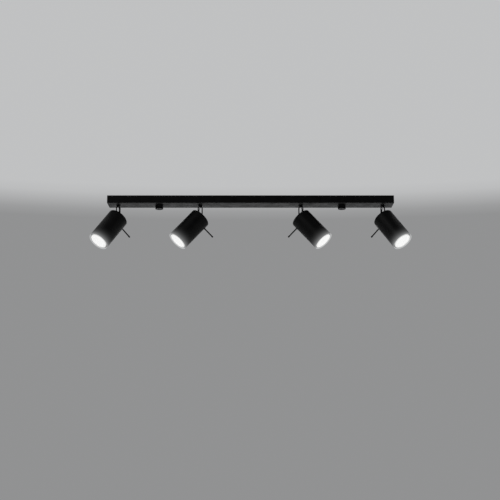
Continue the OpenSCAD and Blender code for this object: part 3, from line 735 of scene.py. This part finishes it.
def make_rear_cap(m, material):
    """Pressed cap: rolled edge, stepped lip inside the tube and the slot that the link passes through."""
    o = m.outer
    roll = 2.5 * MM
    under = m.rear - m.cap_t
    seat = m.tube_top + 0.02 * MM
    lip_r, lip_t = m.inner - 0.05 * MM, 1.2 * MM
    outline = [(0, under), (lip_r - lip_t, under), (lip_r - lip_t, m.cap_lip), (lip_r - 0.3 * MM, m.cap_lip),
               (lip_r, m.cap_lip + 0.3 * MM), (lip_r, seat), (o - 0.35 * MM, seat), (o, seat + 0.35 * MM)]
    outline += [(x, z) for x, z in arc(o - roll, m.rear - roll, roll, 0, 90, 10)]
    outline += [(o - roll - 1.5 * MM, m.rear), (o * 0.6, m.rear), (0, m.rear)]
    mesh = joined("tube_cap", [lathe(outline, 160, closed=False)])
    cap = add_object(f"tube_cap_{m.head}", mesh, sharp=28)
    half, a, b = m.slot_half, m.slot_low, m.slot_high
    slots = []
    for grow, low, high in ((0, under - 2 * MM, m.rear + MM), (0.3 * MM, m.rear - 0.3 * MM, m.rear + MM)):
        edge = [(x, y) for x, y in arc(b - half, 0, half + grow, -90, 90, 12)]
        edge += [(x, y) for x, y in arc(a + half, 0, half + grow, 90, 270, 12)]
        n = len(edge)
        shape = [(x, y, low) for x, y in edge] + [(x, y, high) for x, y in edge]
        faces = [tuple(range(n)), tuple(range(n, 2 * n))] + [(k, (k + 1) % n, n + (k + 1) % n, n + k)
                                                             for k in range(n)]
        slots.append(cutter((shape, faces)))
    cut(cap, slots)
    finish_head_piece(cap, m, material, f"rear_cap_{m.head}")


def make_lever(m, material):
    """Thin rod with a collar against the tube and a ball end, and a nut inside."""
    r = m.lever_r
    start, tip = m.lever_start, m.lever_end
    ball = r + 0.4 * MM
    collar = m.outer + 0.02 * MM
    outline = [(0, start), (r - 0.3 * MM, start), (r, start + 0.3 * MM), (r, collar),
               (r + 0.8 * MM, collar), (r + MM, collar + 0.2 * MM), (r + MM, collar + MM),
               (r + 0.8 * MM, collar + 1.2 * MM), (r, collar + 1.25 * MM), (r, tip - ball - 3.2 * MM),
               (ball, tip - ball - 2.8 * MM)]
    outline += [(x, z) for x, z in arc(0, tip - ball, ball, 0, 90, 12)][:-1] + [(0, tip)]
    parts = [lathe(outline, 40, closed=False)]
    nut_low, nut_high, flat = m.inner - 3.2 * MM, m.inner - 0.8 * MM, r * 2 + 2.6 * MM
    corner = flat / 2 / math.cos(math.pi / 6)
    ring = [(corner * math.cos(math.pi * k / 3), corner * math.sin(math.pi * k / 3)) for k in range(6)]
    hexagon = [(x, y, nut_low) for x, y in ring] + [(x, y, nut_high) for x, y in ring]
    faces = [tuple(range(6)), tuple(range(6, 12))]
    faces += [(k, (k + 1) % 6, 6 + (k + 1) % 6, 6 + k) for k in range(6)]
    parts.append((hexagon, faces))
    turn = Matrix.Translation((0, 0, m.lever_z)) @ Matrix.Rotation(-math.pi / 2, 4, "Y")
    lever = add_object(f"lever_{m.head}", joined("lever", [moved(p, turn) for p in parts]), sharp=35)
    finish_head_piece(lever, m, material, f"lever_rod_{m.head}")


def finish_head_piece(piece, m, material, node, body=None):
    """Place a piece in its head's frame, paint it, and hang it on the head or the given body."""
    piece.matrix_world = m.frame
    piece.data.materials.clear()
    piece.data.materials.append(material)
    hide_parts(node)
    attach(piece, body or f"head_{m.head}")


# ---------------------------------------------------------------- lamps
def make_lamp(m, shell, lens_material, pins):
    """Reflector lamp: a ribbed body with a rim round its lens, a base and two pins."""
    head = m.head
    points = local_points(f"lamp_{head}", m.frame)
    z0, r = m.face, m.lamp_r
    base_r = max(radial(p) for p in points if p.z > m.lamp_base - 2 * MM and p.z < m.lamp_base + 0.05 * MM)
    neck = m.lamp_base - 16 * MM
    sides = 240
    rim, e = 3.5 * MM, 0.4 * MM
    cone = [(r - 2.2 * MM, z0 + rim + 6 * MM), (r - 6 * MM, z0 + rim + 14 * MM), (base_r + 1.5 * MM, neck),
            (base_r, neck + 1.5 * MM)]
    outline = [(m.lens_r + 0.05 * MM, z0 + m.lens_t), (m.lens_r + 0.05 * MM, z0 + e / 2),
               (m.lens_r + 0.05 * MM + e / 2, z0)]
    outline += [(x, z) for x, z in arc(r - e, z0 + e, e, -90, 0, 4)]
    outline += [(r, z0 + rim), (r - 0.5 * MM, z0 + rim + 0.5 * MM)]
    steps = 5
    ribs_low, ribs_high = z0 + rim + 1.2 * MM, neck - MM
    for (r0, h0), (r1, h1) in zip([outline[-1]] + cone, cone):
        outline += [(r0 + (r1 - r0) * k / steps, h0 + (h1 - h0) * k / steps) for k in range(1, steps + 1)]
    outline += [(base_r, m.lamp_base - e), (base_r - e, m.lamp_base)]

    def ribs(radius, z, t):
        if z < ribs_low or z > ribs_high:
            return radius
        return radius - 0.9 * MM * (0.5 + 0.5 * math.cos(24 * t)) ** 0.35

    mesh = joined("lamp_body", [ring_profile(outline, sides, ribs)])
    body = add_object(f"lamp_body_{head}", mesh, sharp=40)
    finish_head_piece(body, m, shell, f"lamp_{head}", f"bulb_{head}")
    head_r = m.pin_r
    shank = head_r * 0.62
    pin = [(0, m.lamp_base - 0.5 * MM), (shank, m.lamp_base - 0.5 * MM), (shank, m.pin_head),
           (head_r - 0.15 * MM, m.pin_head), (head_r, m.pin_head + 0.15 * MM),
           (head_r, m.lamp_top - 0.3 * MM), (head_r - 0.3 * MM, m.lamp_top), (0, m.lamp_top)]
    parts = [moved(lathe(pin, 32, closed=False), Matrix.Translation((s * m.pin_x, 0, 0))) for s in (-1, 1)]
    contacts = add_object(f"lamp_pins_{head}", joined("lamp_pins", parts), sharp=35)
    finish_head_piece(contacts, m, pins, f"lamp_{head}", f"bulb_{head}")
    dome, edge = 0.7 * MM, 0.15 * MM
    front = [(m.lens_r * k / 14, z0 + dome * (k / 14) ** 2) for k in range(14)]
    front += [(m.lens_r - edge, z0 + dome), (m.lens_r, z0 + dome + edge), (m.lens_r, z0 + m.lens_t),
              (0, z0 + m.lens_t)]
    mesh = joined("lamp_front", [lathe(front, 128, closed=False)])
    lens = add_object(f"lamp_front_{head}", mesh, sharp=30)
    finish_head_piece(lens, m, lens_material, f"lamp_lens_{head}", f"bulb_{head}")


# ---------------------------------------------------------------- build the visible pieces
PAINT = {
    "canopy_paint": powder_coat("canopy_paint", 0.006, 2200),
    "link_paint": powder_coat("link_paint", 0.0055, 3200, 0.5),
    "lever_paint": powder_coat("lever_paint", 0.007, 3600, 0.5),
    "knob_black": powder_coat("knob_black", 0.008, 3000, 0.45),
}
FINISHES = {
    "zinc_steel": plated_steel("zinc_steel", (0.56, 0.58, 0.6), 0.32, 0.12, 180),
    "steel": plated_steel("steel", (0.5, 0.5, 0.51), 0.26, 0.03, 260),
    "brass": plated_steel("brass", (0.72, 0.52, 0.24), 0.24, 0.05, 320),
    "black_nylon": moulded("black_nylon", (0.022, 0.022, 0.024), 0.4, 1900),
    "black_rubber": moulded("black_rubber", (0.018, 0.018, 0.018), 0.68, 1300, 0.25, 0.2),
    "black_silicone": moulded("black_silicone", (0.012, 0.012, 0.013), 0.46, 2400),
    "white_nylon": moulded("white_nylon", (0.74, 0.73, 0.68), 0.4, 1600, 0.05),
    "ceramic": glazed_ceramic("ceramic"),
    "brown_pvc": moulded("brown_pvc", (0.16, 0.065, 0.03), 0.36, 1700),
    "blue_pvc": moulded("blue_pvc", (0.02, 0.1, 0.42), 0.36, 1700),
    "green_yellow_pvc": striped("green_yellow_pvc", (0.06, 0.3, 0.05), (0.75, 0.6, 0.03), 90),
}

SLOTS = {part["node"]: part["material_slot"] for part in frame["record"]["subparts"]}


def round_edges(piece, width):
    """A small bevel on a CAD node's sharp edges, by modifiers alone."""
    weld = piece.modifiers.new("weld", "WELD")
    weld.merge_threshold = 0.002 * MM
    bevel = piece.modifiers.new("bevel", "BEVEL")
    bevel.width = width
    bevel.segments = 2
    bevel.limit_method = "ANGLE"
    bevel.angle_limit = math.radians(40)
    bevel.use_clamp_overlap = True
    bevel.harden_normals = False
    normals = piece.modifiers.new("normals", "WEIGHTED_NORMAL")
    normals.keep_sharp = True


def finish_cad_nodes():
    """CAD nodes that stay: their slot's material, and rounded edges where metal or plastic is seen."""
    rounded = ("zinc_steel", "white_nylon", "ceramic", "brass", "steel")
    for name, piece in NODES.items():
        if piece.hide_render:
            continue
        material = FINISHES[SLOTS[name]]
        if not piece.material_slots:
            piece.data.materials.append(material)
        for slot in piece.material_slots:
            slot.material = material
        if SLOTS[name] in rounded and "screw" not in name:
            round_edges(piece, 0.18 * MM)


make_canopy(PAINT["canopy_paint"])
for side in ("left", "right"):
    make_cap_nut(side, PAINT["knob_black"])
for head in HEADS:
    m = Measures(head)
    # painted glow for each tube's paint, standing in for its lamp's light spilling over the mouth
    painted_spill = (m.mouth, 60 * MM, m.inner, m.outer, 0.24)
    tube = powder_coat(f"tube_paint_{head}", 0.006, 2400, 0.4, painted_glow=painted_spill)
    shell = lamp_shell(f"lamp_shell_{head}", m.face, m.lamp_r)
    front = lit_lens(f"lamp_front_{head}", m.lens_r)
    make_link(m, PAINT["link_paint"])
    make_shade(m, tube)
    make_rear_cap(m, PAINT["canopy_paint"])
    make_lever(m, PAINT["lever_paint"])
    make_lamp(m, shell, front, FINISHES["steel"])
finish_cad_nodes()


# ---------------------------------------------------------------- stage
def make_floor():
    """A pale floor at a room's depth below the bar."""
    half, low = 4.5, -1.62
    corners = [(-half, -half, low), (half, -half, low), (half, half, low), (-half, half, low)]
    mesh = mesh_from("floor", corners, [(0, 1, 2, 3)])
    floor = bpy.data.objects.new("floor", mesh)
    bpy.context.scene.collection.objects.link(floor)
    n = Nodes("floor_paint")
    cloud = n.map(n.noise(1.5, 4), 0.3, 0.7, 0, 1)
    n.put("Base Color", n.mix(cloud, (0.60, 0.60, 0.595), (0.64, 0.64, 0.635)))
    n.put("Roughness", 0.85)
    floor.data.materials.append(n.material)


def make_world():
    """A plain backdrop for the camera; for all else a dim studio, lighter behind the bar."""
    world = bpy.data.worlds.new("studio")
    bpy.context.scene.world = world
    world.use_nodes = True
    tree = world.node_tree
    tree.nodes.clear()
    output = tree.nodes.new("ShaderNodeOutputWorld")
    mix = tree.nodes.new("ShaderNodeMixShader")
    seen = tree.nodes.new("ShaderNodeBackground")
    felt = tree.nodes.new("ShaderNodeBackground")
    path = tree.nodes.new("ShaderNodeLightPath")
    coord = tree.nodes.new("ShaderNodeTexCoord")
    split = tree.nodes.new("ShaderNodeSeparateXYZ")
    tree.links.new(coord.outputs["Generated"], split.inputs[0])

    def ranged(value, settings):
        node = tree.nodes.new("ShaderNodeMapRange")
        for key, number in zip(("From Min", "From Max", "To Min", "To Max"), settings):
            node.inputs[key].default_value = number
        tree.links.new(value, node.inputs["Value"])
        return node.outputs["Result"]

    def combined(operation, *values):
        node = tree.nodes.new("ShaderNodeMath")
        node.operation = operation
        for socket, value in zip(node.inputs, values):
            tree.links.new(value, socket)
        return node.outputs[0]

    wall_tone, ceiling_tone = (0.285, 0.287, 0.29, 1), (0.53, 0.535, 0.54, 1)
    backdrop = tree.nodes.new("ShaderNodeValToRGB")
    backdrop.color_ramp.interpolation = "EASE"
    stops = ((0.6165, wall_tone), (0.6325, ceiling_tone))
    for element, (height, tone) in zip(backdrop.color_ramp.elements, stops):
        element.position, element.color = height, tone
    tree.links.new(ranged(split.outputs["Z"], (-1, 1, 0, 1)), backdrop.inputs["Fac"])
    tree.links.new(backdrop.outputs["Color"], seen.inputs["Color"])
    behind = ranged(split.outputs["Y"], (0.2, 1.0, 0.0, 0.85))
    centred = ranged(combined("ABSOLUTE", split.outputs["X"]), (0.0, 0.5, 1.0, 0.1))
    dim = ranged(split.outputs["Y"], (-0.6, 0.4, 0.035, 0.16))
    tree.links.new(combined("ADD", combined("MULTIPLY", behind, centred), dim), felt.inputs["Strength"])
    felt.inputs["Color"].default_value = (0.97, 0.985, 1.0, 1)
    tree.links.new(path.outputs["Is Camera Ray"], mix.inputs["Fac"])
    tree.links.new(felt.outputs[0], mix.inputs[1])
    tree.links.new(seen.outputs[0], mix.inputs[2])
    tree.links.new(mix.outputs[0], output.inputs[0])


def area_light(name, place, target, size, power):
    data = bpy.data.lights.new(name, "AREA")
    data.shape = "RECTANGLE"
    data.size, data.size_y = size
    data.energy = power
    light = bpy.data.objects.new(name, data)
    light.location = place
    light.rotation_euler = (Vector(target) - Vector(place)).to_track_quat("-Z", "Y").to_euler()
    bpy.context.scene.collection.objects.link(light)


make_floor()
make_world()
bar = (0, 0, -0.05)
area_light("overhead", (0, 1.8, 2.4), (0, 0.4, -0.05), (2.2, 1.8), 60)
area_light("key", (-1.6, -1.6, 1.4), bar, (1.6, 1.0), 5)
area_light("fill", (2.2, -1.2, 0.2), bar, (1.4, 1.4), 1.2)
area_light("back", (0.4, 2.4, 0.6), bar, (2.4, 1.2), 8)
bpy.context.scene.view_settings.view_transform = "Standard"
bpy.context.scene.view_settings.look = "None"

bpy.context.view_layer.update()
